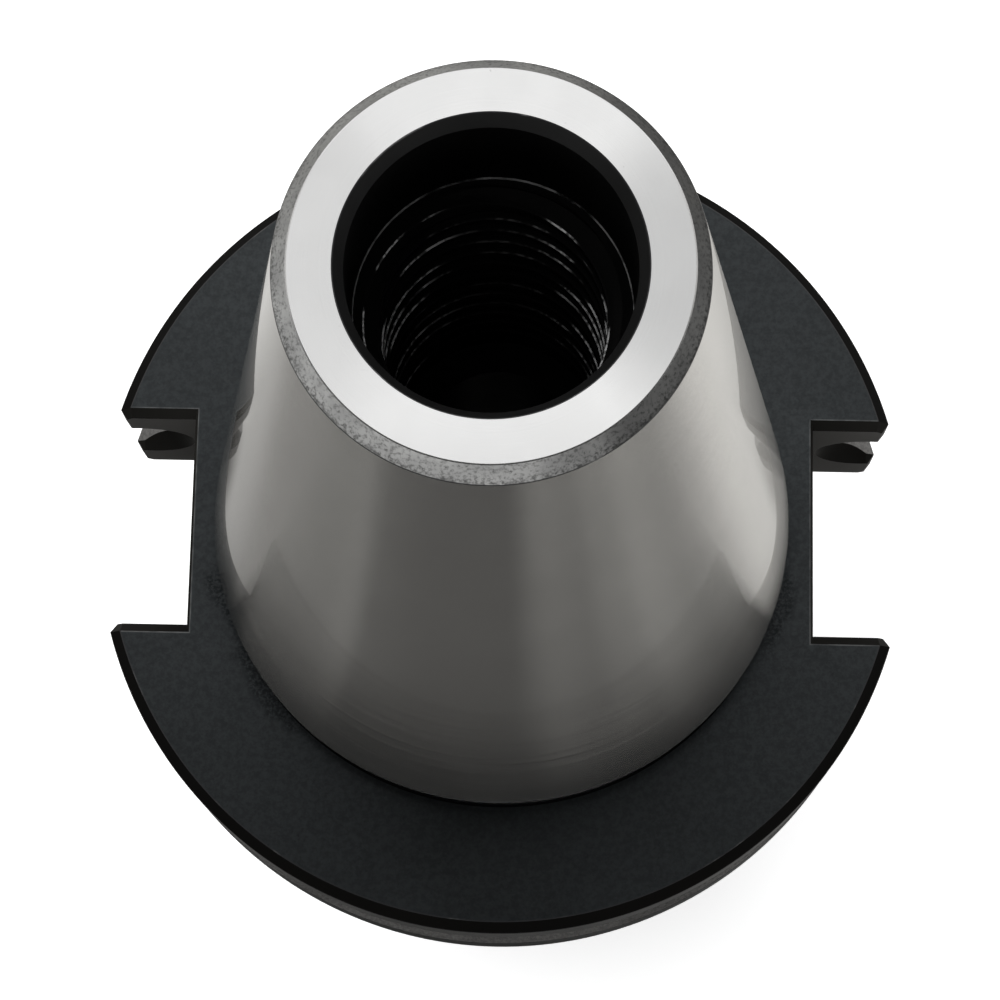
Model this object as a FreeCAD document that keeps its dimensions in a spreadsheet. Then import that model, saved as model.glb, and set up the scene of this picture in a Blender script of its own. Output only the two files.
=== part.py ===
import FreeCAD, Part
import os
import Sketcher
from FreeCAD import Placement, Rotation, Vector

# End mill holder with a size 40 steep taper and a V flange.
# It stands on its nose: +Z runs up through the flange to the small end of
# the taper, and the origin is the middle of the nose face. Sizes are in mm.

SIZES = [
    # Steep taper, measured from the gauge plane towards the small end
    ("gauge_diameter", 44.45, "taper diameter in the gauge plane"),
    ("taper_rise", 7.0, "the taper's diameter falls by this much"),
    ("taper_run", 24.0, "over this length"),
    ("taper_length", 68.25, "gauge plane to small end face"),
    ("end_chamfer_depth", 1.17, "axial length of the chamfer round that face"),
    ("end_chamfer_width", 0.93, "radial width of the same chamfer"),
    ("end_ring_width", 2.61, "flat ring inside it, round the drawbar hole"),
    ("neck_relief", 0.275, "radial depth of the undercut between taper and flange"),
    # V flange
    ("projection", 76.2, "nose face to gauge plane"),
    ("flange_offset", 3.175, "gauge plane to the flange's taper side"),
    ("flange_diameter", 63.5, "outside of the flange"),
    ("flange_width", 15.875, "thickness of the flange"),
    ("flange_chamfer", 0.85, "both outer edges of the flange"),
    ("groove_station", 11.1, "gauge plane to the middle of the V groove"),
    ("groove_mouth", 7.05, "width of the V groove at its mouth"),
    ("groove_depth", 3.625, "flange's outside to the flat bottom of the V groove"),
    ("groove_half_angle", 30.0, "each flank to the groove's middle plane"),
    # Drive slots
    ("slot_width", 16.5, "between the two walls of a drive slot"),
    ("slot_land", 2.175, "taper's gauge circle to the bottom of a drive slot"),
    ("slot_chamfer", 0.7, "edges of the slot walls"),
    ("slot_root_chamfer", 0.2, "edges of the slot bottom"),
    ("groove_sink_inset", 2.55, "flange's outside to the axis of the countersinks at the groove's ends"),
    ("groove_sink_margin", 0.375, "their radius in the slot walls, over half the groove's mouth"),
    ("groove_sink_half_angle", 45.0, "half of the countersinks' angle"),
    # Nose
    ("nose_setback", 2.175, "bottom of a drive slot to the outside of the nose"),
    ("nose_chamfer", 1.6, "edge of the nose face"),
    ("nose_fillet", 1.6, "corner between nose and flange"),
    # Bore for the end mill's shank
    ("shank_diameter", 19.05, "bore for the end mill's shank"),
    ("shank_depth", 55.0, "nose face to the end of that bore"),
    ("shank_chamfer", 0.8, "mouth of that bore"),
    ("drill_half_angle", 59.0, "half of a drill point's angle"),
    # Drawbar hole, from the flat ring of the small end inwards
    ("centre_width", 0.58, "radial width of the centre cone at its mouth"),
    ("centre_half_angle", 30.0, "half of the centre cone's angle"),
    ("pilot_depth", 10.1, "small end face to the end of the smooth pilot"),
    ("pilot_step", 1.47, "radial step from the pilot to the thread's drilled hole"),
    ("lead_half_angle", 45.0, "half of the angle of that step's cone"),
    ("tap_drill_depth", 42.0, "small end face to the end of the drilled hole"),
    ("passage_step", 1.85, "radial step from it to the passage to the shank's bore"),
    # Side lock screw and its hole
    ("screw_station", 25.4, "nose face to the screw's axis"),
    ("screw_diameter", 15.78, "outside of the screw's thread"),
    ("screw_clearance", 0.05, "radial clearance of the screw in its hole"),
    ("screw_length", 11.11, "overall length of the screw"),
    ("screw_retract", 0.92, "shank bore wall to the screw's point at rest"),
    ("screw_end_chamfer", 0.9, "edge of the screw's socket end"),
    ("point_diameter", 12.2, "flat point that bears on the shank"),
    ("point_chamfer", 1.3, "axial length of the point's chamfer"),
    ("socket_flats", 7.94, "hexagon socket across flats"),
    ("socket_depth", 6.2, "depth of the hexagon socket"),
    ("sink_depth", 0.6, "countersink below the lowest rim of the hole"),
]

TOLERANCE = 0.001   # how near a point lies to a face or an edge, in mm
LEAST_CUT = 1.0     # every cut takes away more than this, in cubic mm
EDGE_SPANS = 4      # spans between the points that are sampled on an edge
HEXAGON = 6

os.makedirs("parts", exist_ok=True)
doc = FreeCAD.newDocument("EndMillHolder")

sheet = doc.addObject("Spreadsheet::Sheet", "sizes")
for row, (alias, value, meaning) in enumerate(SIZES, start=1):
    sheet.set(f"A{row}", alias)
    sheet.set(f"B{row}", str(value))
    sheet.setAlias(f"B{row}", alias)
    sheet.set(f"C{row}", meaning)
doc.recompute()

# Places and radii that several sketches share, as expressions of the sheet

GAUGE_RADIUS = "sizes.gauge_diameter / 2"
SLOPE = "(sizes.taper_rise / sizes.taper_run / 2)"
TOP = "(sizes.projection + sizes.taper_length)"
FLANGE_TOP = "(sizes.projection - sizes.flange_offset)"
FLANGE_FRONT = "(sizes.projection - sizes.flange_offset - sizes.flange_width)"
FLANGE_RADIUS = "sizes.flange_diameter / 2"
GROOVE_MIDDLE = "(sizes.projection - sizes.groove_station)"
GROOVE_RADIUS = f"({FLANGE_RADIUS} - sizes.groove_depth)"
SINK_RADIUS = "(sizes.groove_mouth / 2 + sizes.groove_sink_margin)"
SLOT_ROOT = f"({GAUGE_RADIUS} + sizes.slot_land)"
NOSE_RADIUS = f"({SLOT_ROOT} - sizes.nose_setback)"
SHANK_RADIUS = "sizes.shank_diameter / 2"
CHAMFER_STATION = "(sizes.taper_length - sizes.end_chamfer_depth)"
CHAMFER_RADIUS = f"({GAUGE_RADIUS} - {SLOPE} * {CHAMFER_STATION})"
END_RADIUS = f"({CHAMFER_RADIUS} - sizes.end_chamfer_width)"
CENTRE_RADIUS = f"({END_RADIUS} - sizes.end_ring_width)"
PILOT_RADIUS = f"({CENTRE_RADIUS} - sizes.centre_width)"
DRILL_RADIUS = f"({PILOT_RADIUS} - sizes.pilot_step)"
PASSAGE_RADIUS = f"({DRILL_RADIUS} - sizes.passage_step)"
HOLE_RADIUS = "(sizes.screw_diameter / 2 + sizes.screw_clearance)"
SOCKET_FLAT = "(sizes.socket_flats / 2)"
SOCKET_CORNER = "(sizes.socket_flats / 2 / cos(30deg))"


def value_of(expression):
    """Number that an expression of the sheet's cells gives."""
    result = sheet.evalExpression(expression)
    return float(getattr(result, "Value", result))


def new_body(name):
    """Empty body whose label names the sub-part."""
    body = doc.addObject("PartDesign::Body", name)
    body.Label = name
    return body


def new_sketch(body, name, role):
    """Empty sketch on the body's own origin plane with this role."""
    sketch = body.newObject("Sketcher::SketchObject", name)
    for feature in body.Origin.OriginFeatures:
        if feature.Role == role:
            sketch.AttachmentSupport = [(feature, "")]
    sketch.MapMode = "FlatFace"
    return sketch


def bind(sketch, name, expression, kind, *place):
    """Dimension of the sketch that follows the sheet."""
    index = sketch.addConstraint(Sketcher.Constraint(kind, *place, value_of(expression)))
    sketch.renameConstraint(index, name)
    sketch.setExpression(f"Constraints.{name}", expression)


def draw_closed(sketch, spots):
    """Closed loop of straight edges through the spots."""
    for spot, following in zip(spots, spots[1:] + spots[:1]):
        sketch.addGeometry(Part.LineSegment(spot, following), False)
    for edge in range(len(spots)):
        following = (edge + 1) % len(spots)
        sketch.addConstraint(Sketcher.Constraint("Coincident", edge, 2, following, 1))


def draw_outline(sketch, corners):
    """Closed outline whose corners are pairs of expressions, across and up.

    A None in place of an expression puts the corner on the sketch's axis.
    """
    spots = []
    for across, up in corners:
        x = value_of(across) if across else 0.0
        y = value_of(up) if up else 0.0
        spots.append(Vector(x, y, 0))
    draw_closed(sketch, spots)
    for corner, (across, up) in enumerate(corners):
        if across:
            bind(sketch, f"across_{corner}", across, "DistanceX", -1, 1, corner, 1)
        else:
            sketch.addConstraint(Sketcher.Constraint("PointOnObject", corner, 1, -2))
        if up:
            bind(sketch, f"up_{corner}", up, "DistanceY", -1, 1, corner, 1)
        else:
            sketch.addConstraint(Sketcher.Constraint("PointOnObject", corner, 1, -1))
    return sketch


def turn(body, kind, sketch, axis="V_Axis"):
    """Revolution or Groove of a sketch, all the way round its axis."""
    feature = body.newObject(f"PartDesign::{kind}", f"{sketch.Name}_turned")
    feature.Profile = sketch
    feature.ReferenceAxis = (sketch, [axis])
    feature.Angle = 360.0
    doc.recompute()
    return feature


def sink_pocket(body, sketch, depth, upwards=False):
    """Pocket of a sketch, with a depth that follows the sheet."""
    pocket = body.newObject("PartDesign::Pocket", f"{sketch.Name}_cut")
    pocket.Profile = sketch
    pocket.Type = "Length"
    pocket.Reversed = upwards
    pocket.setExpression("Length", depth)
    doc.recompute()
    return pocket


def remove(body, cut, *details, **options):
    """Makes a cut, and stops if it takes nothing away."""
    before = body.Shape.Volume
    feature = cut(body, *details, **options)
    if before - body.Shape.Volume < LEAST_CUT:
        raise RuntimeError(f"a cut in {body.Label} removes nothing")
    return feature


def dress(body, kind, name, chosen, setting, size):
    """Fillet or Chamfer of the edges whose sampled points are chosen."""
    base = body.Tip
    names = []
    for number, edge in enumerate(base.Shape.Edges, start=1):
        first, last = edge.ParameterRange
        span = (last - first) / EDGE_SPANS
        samples = [edge.valueAt(first + span * step) for step in range(EDGE_SPANS + 1)]
        if chosen(samples):
            names.append(f"Edge{number}")
    feature = body.newObject(f"PartDesign::{kind}", name)
    feature.Base = (base, names)
    feature.setExpression(setting, size)
    doc.recompute()


def outside_sketch(body):
    """Half section of the holder's outside, from nose face to small end."""
    flank = "sizes.groove_depth * tan(sizes.groove_half_angle * 1deg)"
    floor = f"(sizes.groove_mouth / 2 - {flank})"
    neck = f"{GAUGE_RADIUS} - sizes.neck_relief"
    return draw_outline(new_sketch(body, "outside", "XZ_Plane"), [
        (None, None),
        (f"{NOSE_RADIUS} - sizes.nose_chamfer", None),
        (NOSE_RADIUS, "sizes.nose_chamfer"),
        (NOSE_RADIUS, FLANGE_FRONT),
        (f"{FLANGE_RADIUS} - sizes.flange_chamfer", FLANGE_FRONT),
        (FLANGE_RADIUS, f"{FLANGE_FRONT} + sizes.flange_chamfer"),
        (FLANGE_RADIUS, f"{GROOVE_MIDDLE} - sizes.groove_mouth / 2"),
        (GROOVE_RADIUS, f"{GROOVE_MIDDLE} - {floor}"),
        (GROOVE_RADIUS, f"{GROOVE_MIDDLE} + {floor}"),
        (FLANGE_RADIUS, f"{GROOVE_MIDDLE} + sizes.groove_mouth / 2"),
        (FLANGE_RADIUS, f"{FLANGE_TOP} - sizes.flange_chamfer"),
        (f"{FLANGE_RADIUS} - sizes.flange_chamfer", FLANGE_TOP),
        (neck, FLANGE_TOP),
        (neck, "sizes.projection"),
        (GAUGE_RADIUS, "sizes.projection"),
        (CHAMFER_RADIUS, f"sizes.projection + {CHAMFER_STATION}"),
        (END_RADIUS, TOP),
        (None, TOP),
    ])


def shank_bore_sketch(body):
    """Half section of the end mill's bore and the passage behind it."""
    cone = f"({SHANK_RADIUS} - {PASSAGE_RADIUS}) / tan(sizes.drill_half_angle * 1deg)"
    return draw_outline(new_sketch(body, "shank_bore", "XZ_Plane"), [
        (None, None),
        (f"{SHANK_RADIUS} + sizes.shank_chamfer", None),
        (SHANK_RADIUS, "sizes.shank_chamfer"),
        (SHANK_RADIUS, "sizes.shank_depth"),
        (PASSAGE_RADIUS, f"sizes.shank_depth + {cone}"),
        (PASSAGE_RADIUS, f"{TOP} - sizes.tap_drill_depth"),
        (None, f"{TOP} - sizes.tap_drill_depth"),
    ])


def drawbar_hole_sketch(body):
    """Half section of the centre cone, the pilot and the tapped hole."""
    centre = "sizes.centre_width / tan(sizes.centre_half_angle * 1deg)"
    lead = "sizes.pilot_step / tan(sizes.lead_half_angle * 1deg)"
    point = f"{DRILL_RADIUS} / tan(sizes.drill_half_angle * 1deg)"
    return draw_outline(new_sketch(body, "drawbar_hole", "XZ_Plane"), [
        (None, TOP),
        (CENTRE_RADIUS, TOP),
        (PILOT_RADIUS, f"{TOP} - {centre}"),
        (PILOT_RADIUS, f"{TOP} - sizes.pilot_depth"),
        (DRILL_RADIUS, f"{TOP} - sizes.pilot_depth - {lead}"),
        (DRILL_RADIUS, f"{TOP} - sizes.tap_drill_depth"),
        (None, f"{TOP} - sizes.tap_drill_depth - {point}"),
    ])


def screw_hole_sketch(body):
    """Half section of the side lock hole along +X, with its countersink.

    The countersink starts below the lowest points of the saddle-shaped rim,
    so that it goes all the way round.
    """
    rim = f"sqrt({NOSE_RADIUS} * {NOSE_RADIUS} - {HOLE_RADIUS} * {HOLE_RADIUS})"
    start = f"({rim} - sizes.sink_depth)"
    end = f"({NOSE_RADIUS} + sizes.sink_depth)"
    sketch = new_sketch(body, "screw_hole", "XZ_Plane")
    sketch.setExpression("AttachmentOffset.Base.y", "sizes.screw_station")
    return draw_outline(sketch, [
        (None, None),
        (None, HOLE_RADIUS),
        (start, HOLE_RADIUS),
        (end, f"{HOLE_RADIUS} + {end} - {start}"),
        (end, None),
    ])


def drive_slot_sketch(body):
    """Plan of one drive slot, centred on the X axis and open outwards."""
    root = value_of(SLOT_ROOT)
    half = value_of("sizes.slot_width / 2")
    outside = value_of("sizes.flange_diameter")
    sketch = new_sketch(body, "drive_slot", "XY_Plane")
    sketch.setExpression("AttachmentOffset.Base.z", FLANGE_FRONT)
    draw_closed(sketch, [
        Vector(root, -half, 0),
        Vector(outside, -half, 0),
        Vector(outside, half, 0),
        Vector(root, half, 0),
    ])
    sketch.addConstraint(Sketcher.Constraint("Horizontal", 0))
    sketch.addConstraint(Sketcher.Constraint("Vertical", 1))
    sketch.addConstraint(Sketcher.Constraint("Horizontal", 2))
    sketch.addConstraint(Sketcher.Constraint("Symmetric", 3, 1, 3, 2, -1))
    bind(sketch, "width", "sizes.slot_width", "DistanceY", 1, 1, 1, 2)
    bind(sketch, "root", SLOT_ROOT, "DistanceX", -1, 1, 0, 1)
    bind(sketch, "outside", "sizes.flange_diameter", "DistanceX", -1, 1, 0, 2)
    return sketch


def groove_sink_sketch(body):
    """Half section across a drive slot, with a countersink in each of its walls.

    The sketch's upright axis is the countersinks' own axis, square to the
    walls in the middle of the V groove, and starts at the point of one of them.
    """
    depth = f"({SINK_RADIUS} / tan(sizes.groove_sink_half_angle * 1deg))"
    sketch = new_sketch(body, "groove_sink", "XY_Plane")
    sketch.setExpression("AttachmentOffset.Base.x", f"{FLANGE_RADIUS} - sizes.groove_sink_inset")
    sketch.setExpression("AttachmentOffset.Base.y", f"-(sizes.slot_width / 2 + {depth})")
    sketch.setExpression("AttachmentOffset.Base.z", GROOVE_MIDDLE)
    return draw_outline(sketch, [
        (None, None),
        (SINK_RADIUS, depth),
        (SINK_RADIUS, f"{depth} + sizes.slot_width"),
        (None, f"2 * {depth} + sizes.slot_width"),
    ])


def cut_opposite(body, name, feature, plan):
    """Repeats a cut half a turn away, round the axis square to the plan."""
    pair = body.newObject("PartDesign::PolarPattern", name)
    pair.Originals = [feature]
    pair.Axis = (plan, ["N_Axis"])
    pair.Angle = 360.0
    pair.Occurrences = 2
    body.Tip = pair
    doc.recompute()


def cut_drive_slots(body):
    """Two opposite slots through the flange, with all their edges broken.

    The ends of the V groove are countersunk in the slots' walls.
    """
    plan = drive_slot_sketch(body)
    slot = remove(body, sink_pocket, plan, "sizes.flange_width", upwards=True)
    cut_opposite(body, "drive_slots", slot, plan)

    root = value_of(SLOT_ROOT)
    half = value_of("sizes.slot_width / 2")
    faces = (value_of(FLANGE_FRONT), value_of(FLANGE_TOP))

    def on_root(point):
        return abs(abs(point.x) - root) < TOLERANCE

    def on_wall(point):
        return abs(abs(point.y) - half) < TOLERANCE and abs(point.x) > root - TOLERANCE

    def on_face(point):
        return min(abs(point.z - face) for face in faces) < TOLERANCE

    def wall_rim(samples):
        return all(map(on_wall, samples)) and not all(map(on_root, samples))

    def root_rim(samples):
        return all(map(on_root, samples)) and all(map(on_face, samples))

    dress(body, "Chamfer", "slot_wall_edges", wall_rim, "Size", "sizes.slot_chamfer")
    dress(body, "Chamfer", "slot_root_edges", root_rim, "Size", "sizes.slot_root_chamfer")
    sink = remove(body, turn, "Groove", groove_sink_sketch(body))
    cut_opposite(body, "groove_sinks", sink, plan)


def build_holder():
    """The holder: one piece of steel, turned, bored, slotted and ground."""
    body = new_body("holder_body")
    turn(body, "Revolution", outside_sketch(body))
    remove(body, turn, "Groove", shank_bore_sketch(body))
    remove(body, turn, "Groove", drawbar_hole_sketch(body))
    remove(body, turn, "Groove", screw_hole_sketch(body), axis="H_Axis")

    front = value_of(FLANGE_FRONT)
    nose_radius = value_of(NOSE_RADIUS)

    def on_nose_corner(point):
        radius = Vector(point.x, point.y, 0).Length
        return abs(point.z - front) < TOLERANCE and abs(radius - nose_radius) < TOLERANCE

    def nose_corner(samples):
        return all(map(on_nose_corner, samples))

    dress(body, "Fillet", "nose_corner", nose_corner, "Radius", "sizes.nose_fillet")
    cut_drive_slots(body)
    return body


def screw_sketch(body):
    """Half section of the side lock screw, from its point to its socket end."""
    radius = "sizes.screw_diameter / 2"
    return draw_outline(new_sketch(body, "screw_outside", "XZ_Plane"), [
        (None, None),
        ("sizes.point_diameter / 2", None),
        (radius, "sizes.point_chamfer"),
        (radius, "sizes.screw_length - sizes.screw_end_chamfer"),
        (f"{radius} - sizes.screw_end_chamfer", "sizes.screw_length"),
        (None, "sizes.screw_length"),
    ])


def socket_drilling_sketch(body):
    """Half section of the hole drilled before the socket is broached.

    It has a lead-in as wide as the hexagon's corners.
    """
    floor = "(sizes.screw_length - sizes.socket_depth)"
    return draw_outline(new_sketch(body, "socket_drilling", "XZ_Plane"), [
        (None, "sizes.screw_length"),
        (SOCKET_CORNER, "sizes.screw_length"),
        (SOCKET_FLAT, f"sizes.screw_length - {SOCKET_CORNER} + {SOCKET_FLAT}"),
        (SOCKET_FLAT, floor),
        (None, f"{floor} - {SOCKET_FLAT} / tan(sizes.drill_half_angle * 1deg)"),
    ])


def hexagon_sketch(body):
    """Regular hexagon of the socket, drawn on the screw's socket end."""
    corner = value_of(SOCKET_CORNER)
    sketch = new_sketch(body, "hexagon", "XY_Plane")
    sketch.setExpression("AttachmentOffset.Base.z", "sizes.screw_length")
    turns = [Rotation(Vector(0, 0, 1), 360.0 * step / HEXAGON) for step in range(HEXAGON)]
    draw_closed(sketch, [step.multVec(Vector(corner, 0, 0)) for step in turns])
    circle = sketch.addGeometry(Part.Circle(Vector(0, 0, 0), Vector(0, 0, 1), corner), True)
    sketch.addConstraint(Sketcher.Constraint("Coincident", circle, 3, -1, 1))
    sketch.addConstraint(Sketcher.Constraint("PointOnObject", 0, 1, -1))
    for edge in range(HEXAGON):
        sketch.addConstraint(Sketcher.Constraint("PointOnObject", edge, 1, circle))
    for edge in range(1, HEXAGON):
        sketch.addConstraint(Sketcher.Constraint("Equal", 0, edge))
    bind(sketch, "corner", SOCKET_CORNER, "Radius", circle)
    return sketch


def build_screw():
    """Side lock screw, drawn upright and laid along +X in its hole.

    It is shown backed off, with its point just clear of the shank's bore.
    """
    body = new_body("set_screw")
    turn(body, "Revolution", screw_sketch(body))
    remove(body, turn, "Groove", socket_drilling_sketch(body))
    remove(body, sink_pocket, hexagon_sketch(body), "sizes.socket_depth")
    body.Placement = Placement(Vector(0, 0, 0), Rotation(Vector(0, 1, 0), 90))
    body.setExpression("Placement.Base.x", f"{SHANK_RADIUS} + sizes.screw_retract")
    body.setExpression("Placement.Base.z", "sizes.screw_station")
    return body


def check_document(bodies):
    """Stops if any object failed or any sub-part isn't one sound solid."""
    for item in doc.Objects:
        if {"Invalid", "Error"} & set(item.State):
            raise RuntimeError(f"{item.Label} failed: {item.State}")
    for body in bodies:
        shape = body.Shape
        if shape.isNull() or not shape.isValid() or len(shape.Solids) != 1:
            raise RuntimeError(f"{body.Label} is not one valid solid")


parts = [build_holder(), build_screw()]
doc.recompute()
check_document(parts)
for part in parts:
    part.Shape.exportStep(f"parts/{part.Label}.step")
    print(part.Label, part.Shape.BoundBox, round(part.Shape.Volume, 1))
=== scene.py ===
import math
from functools import cached_property

import bmesh
import bpy
import numpy as np
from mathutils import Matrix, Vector


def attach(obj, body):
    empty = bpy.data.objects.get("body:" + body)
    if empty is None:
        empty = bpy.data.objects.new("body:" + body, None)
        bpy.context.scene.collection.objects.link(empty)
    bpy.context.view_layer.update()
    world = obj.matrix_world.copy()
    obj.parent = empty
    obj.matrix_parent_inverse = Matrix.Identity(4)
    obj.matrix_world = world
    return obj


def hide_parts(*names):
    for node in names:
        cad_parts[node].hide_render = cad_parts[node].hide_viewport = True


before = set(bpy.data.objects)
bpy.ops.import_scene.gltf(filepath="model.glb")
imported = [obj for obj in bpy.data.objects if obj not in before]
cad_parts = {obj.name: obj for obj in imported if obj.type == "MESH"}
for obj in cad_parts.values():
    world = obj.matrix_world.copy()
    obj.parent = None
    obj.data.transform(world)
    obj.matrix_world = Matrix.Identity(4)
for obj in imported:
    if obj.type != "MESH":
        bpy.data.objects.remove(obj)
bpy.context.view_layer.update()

# End mill holder with a size 40 steep taper and a V flange, standing on its nose. +Z runs up to the
# taper's small end, and +X through one drive slot and along the side lock screw.
# Its shapes are drawn in millimetres. Wear, light and camera are placed in the scene's metres.
MM = 0.001
INCH = 25.4

# Steep taper, from the gauge plane up
GAUGE_R, GAUGE_Z = 22.225, 76.2
TAPER_SLOPE = 7 / 48                 # fall of its radius for each millimetre of height
TAPER_LENGTH = 68.25                 # gauge plane to the small end's face
END_CHAMFER_R, END_CHAMFER_Z = 0.93, 1.17
END_RING = 2.61                      # width of that face, round the drawbar hole
RELIEF = 0.275                       # depth of the undercut between taper and flange
END_Z = GAUGE_Z + TAPER_LENGTH
CONE_TOP_Z = END_Z - END_CHAMFER_Z
CONE_TOP_R = GAUGE_R - TAPER_SLOPE * (CONE_TOP_Z - GAUGE_Z)
END_R = CONE_TOP_R - END_CHAMFER_R
NECK_R = GAUGE_R - RELIEF

# Drawbar hole, from the small end's face down
CENTRE_WIDTH, CENTRE_SLOPE = 0.58, math.tan(math.radians(30))
PILOT_DEPTH, PILOT_STEP = 10.1, 1.47     # smooth pilot, and its step to the thread's crests
TAP_DEPTH, PASSAGE_STEP = 42.0, 1.85     # tapped hole, and its step to the passage under it
DRILL_SLOPE = math.tan(math.radians(59))
CENTRE_R = END_R - END_RING
PILOT_R, PILOT_Z = CENTRE_R - CENTRE_WIDTH, END_Z - CENTRE_WIDTH / CENTRE_SLOPE
PILOT_END = END_Z - PILOT_DEPTH
TAP_R, TAP_END = PILOT_R - PILOT_STEP, END_Z - TAP_DEPTH
PASSAGE_R = TAP_R - PASSAGE_STEP

# V flange, and the groove round it
FLANGE_R, RIM = 31.75, 0.85          # RIM is the chamfer of its outer edges
FLANGE_OFFSET, FLANGE_WIDTH = 3.175, 15.875
GROOVE_OFFSET, GROOVE_HALF, GROOVE_DEPTH = 11.1, 3.525, 3.625
GROOVE_SLOPE = math.tan(math.radians(30))
REAR_Z = GAUGE_Z - FLANGE_OFFSET
FRONT_Z = REAR_Z - FLANGE_WIDTH
GROOVE_Z, GROOVE_R = GAUGE_Z - GROOVE_OFFSET, FLANGE_R - GROOVE_DEPTH
GROOVE_FLAT = GROOVE_HALF - GROOVE_DEPTH * GROOVE_SLOPE     # half the width of its flat bottom

# Drive slots along X, and the 45 degree countersinks where the groove meets their walls
WALL_Y, SLOT_LAND = 8.25, 2.175      # SLOT_LAND is the step from the gauge circle to a slot's root
WALL_CHAMFER, ROOT_CHAMFER = 0.7, 0.2
SINK_INSET, SINK_MARGIN, SINK_OVER = 2.55, 0.375, 0.4
ROOT_X = GAUGE_R + SLOT_LAND
TRIM = WALL_Y + WALL_CHAMFER         # the slots' edges on the flange's faces
SINK_X, SINK_R = FLANGE_R - SINK_INSET, GROOVE_HALF + SINK_MARGIN

# Nose and shank bore
NOSE_R, NOSE_CHAMFER, NOSE_FILLET = ROOT_X - SLOT_LAND, 1.6, 1.6
SHOULDER_R = NOSE_R + NOSE_FILLET
SHANK_R, SHANK_END, MOUTH_CHAMFER = 9.525, 55.0, 0.8

# Threads: pitch, depth, and width of the flat at the root of the internal form
DRAWBAR_THREAD = (INCH / 11, 1.085, INCH / 11 / 8)
SCREW_THREAD = (INCH / 18, 0.764, INCH / 18 / 8)
FLANK_SLOPE = math.tan(math.radians(30))
RUN_OUT, RUN_OUT_AT = 3.0, 1.0       # the drawbar thread fades over this height, this far above its end

# Side lock screw and its hole, along +X
SCREW_Z = INCH
SCREW_R, SCREW_PLAY = 7.89, 0.05     # the solids' plain screw, and the play round it
CREST_R = 7.17                       # crests of the hole's thread
THREAD_GAP = 0.07                    # radial play between the drawn threads
SCREW_LENGTH, RETRACT = 11.11, 0.92  # RETRACT is from the shank bore's wall to the point
POINT_R, POINT_CHAMFER, HEAD_CHAMFER = 6.1, 1.3, 0.9
SOCKET_FLAT, SOCKET_DEPTH, DRILL_TIP = 3.97, 6.2, 0.3
HOLE_SINK = 0.6                      # the countersink's depth below the lowest rim of the hole
CUTTER_START, CUTTER_TURNS_END, CUTTER_END = 4.5, 21.0, 24.0
POINT_X = SHANK_R + RETRACT
HEAD_X, HEAD_R = POINT_X + SCREW_LENGTH, SCREW_R - HEAD_CHAMFER
SOCKET_CORNER = SOCKET_FLAT / math.cos(math.radians(30))
HOLE_SINK_X = math.sqrt(NOSE_R ** 2 - (SCREW_R + SCREW_PLAY) ** 2) - HOLE_SINK

# Fineness of the meshes
SLOT_STEPS, ARC_STEPS = 32, 88       # columns across a slot, and along the flange between the slots
HALF_TURN = SLOT_STEPS + ARC_STEPS
SCREW_COLUMNS = 96
FILLET_STEPS, FLANK_STEPS, SOCKET_STEPS = 8, 5, 5
DRAWBAR_STEPS, SCREW_STEPS = (2, 3, 1), (2, 2, 1)   # rows on a thread's crest, flanks and root
DRAWBAR_RUB, SCREW_RUB = 0.06, 0.04  # width of the rubbed corner of a thread's crest
EDGE = 0.05                          # a worn corner is cut back by this much
FILLET_HOLD, CHAMFER_HOLD = 0.3, 1.0 # rows this far away keep a corner's shading to itself
CREASE_SHADOW = 0.2                         # width of the painted shadow line round the neck's foot
LIP = 0.2                            # height of the rubbed lip at the pilot's end
WELD = 0.0005                        # points closer than this are one point
SHARP = math.radians(13)             # steeper edges than this are not smoothed

# Wear, tone, and painted light and shade of the finishes. Angles are in degrees from the front, right of it
# positive, and a fade is a place, a second place, the value at the first and the value at the second.
SCUFFS_LEFT = (-84.75, -76.2, -47.5, -30.3)
SCUFFS_RIGHT = (61.4, 68.2, 83.1, 90.0)
SCUFFS_FADE = (0.0226, 0.0236, 1.0, 0.0)     # by the distance from the axis
EDGE_LINE_FADE = (0.00004, 0.00013, 1.0, 0.0)
# painted glints on the drawbar thread's crests: kept to the hole's sides, and painted shade fading them
# deeper down
CREST_SIDE_PAINTED_GLINT_FADE = (0.002, 0.006, 0.03, 1.0)  # by the distance to the holder's middle plane
CREST_DEEP_PAINTED_SHADE_FADE = (0.108, 0.126, 0.12, 1.0)  # by the height
GLOSS_LEFT_FADE = (-73.9, -57.3, 1.0, 0.15)
GLOSS_RIGHT_FADE = (59.6, 80.2, 0.15, 0.55)
GLOSS_BEHIND_FADE = (131.8, 166.2, 1.0, 0.2)
# painted sheen on the end ring: its colour darkens to the right, to the left and behind
RING_RIGHT_PAINTED_SHADE_FADE = (0.6, 1.0, 1.0, 0.64)      # by the sine of the angle from the front
RING_LEFT_PAINTED_SHADE_FADE = (0.45, 1.0, 1.0, 0.76)
RING_BACK_PAINTED_SHADE_FADE = (0.0, 0.009, 1.0, 0.91)
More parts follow.
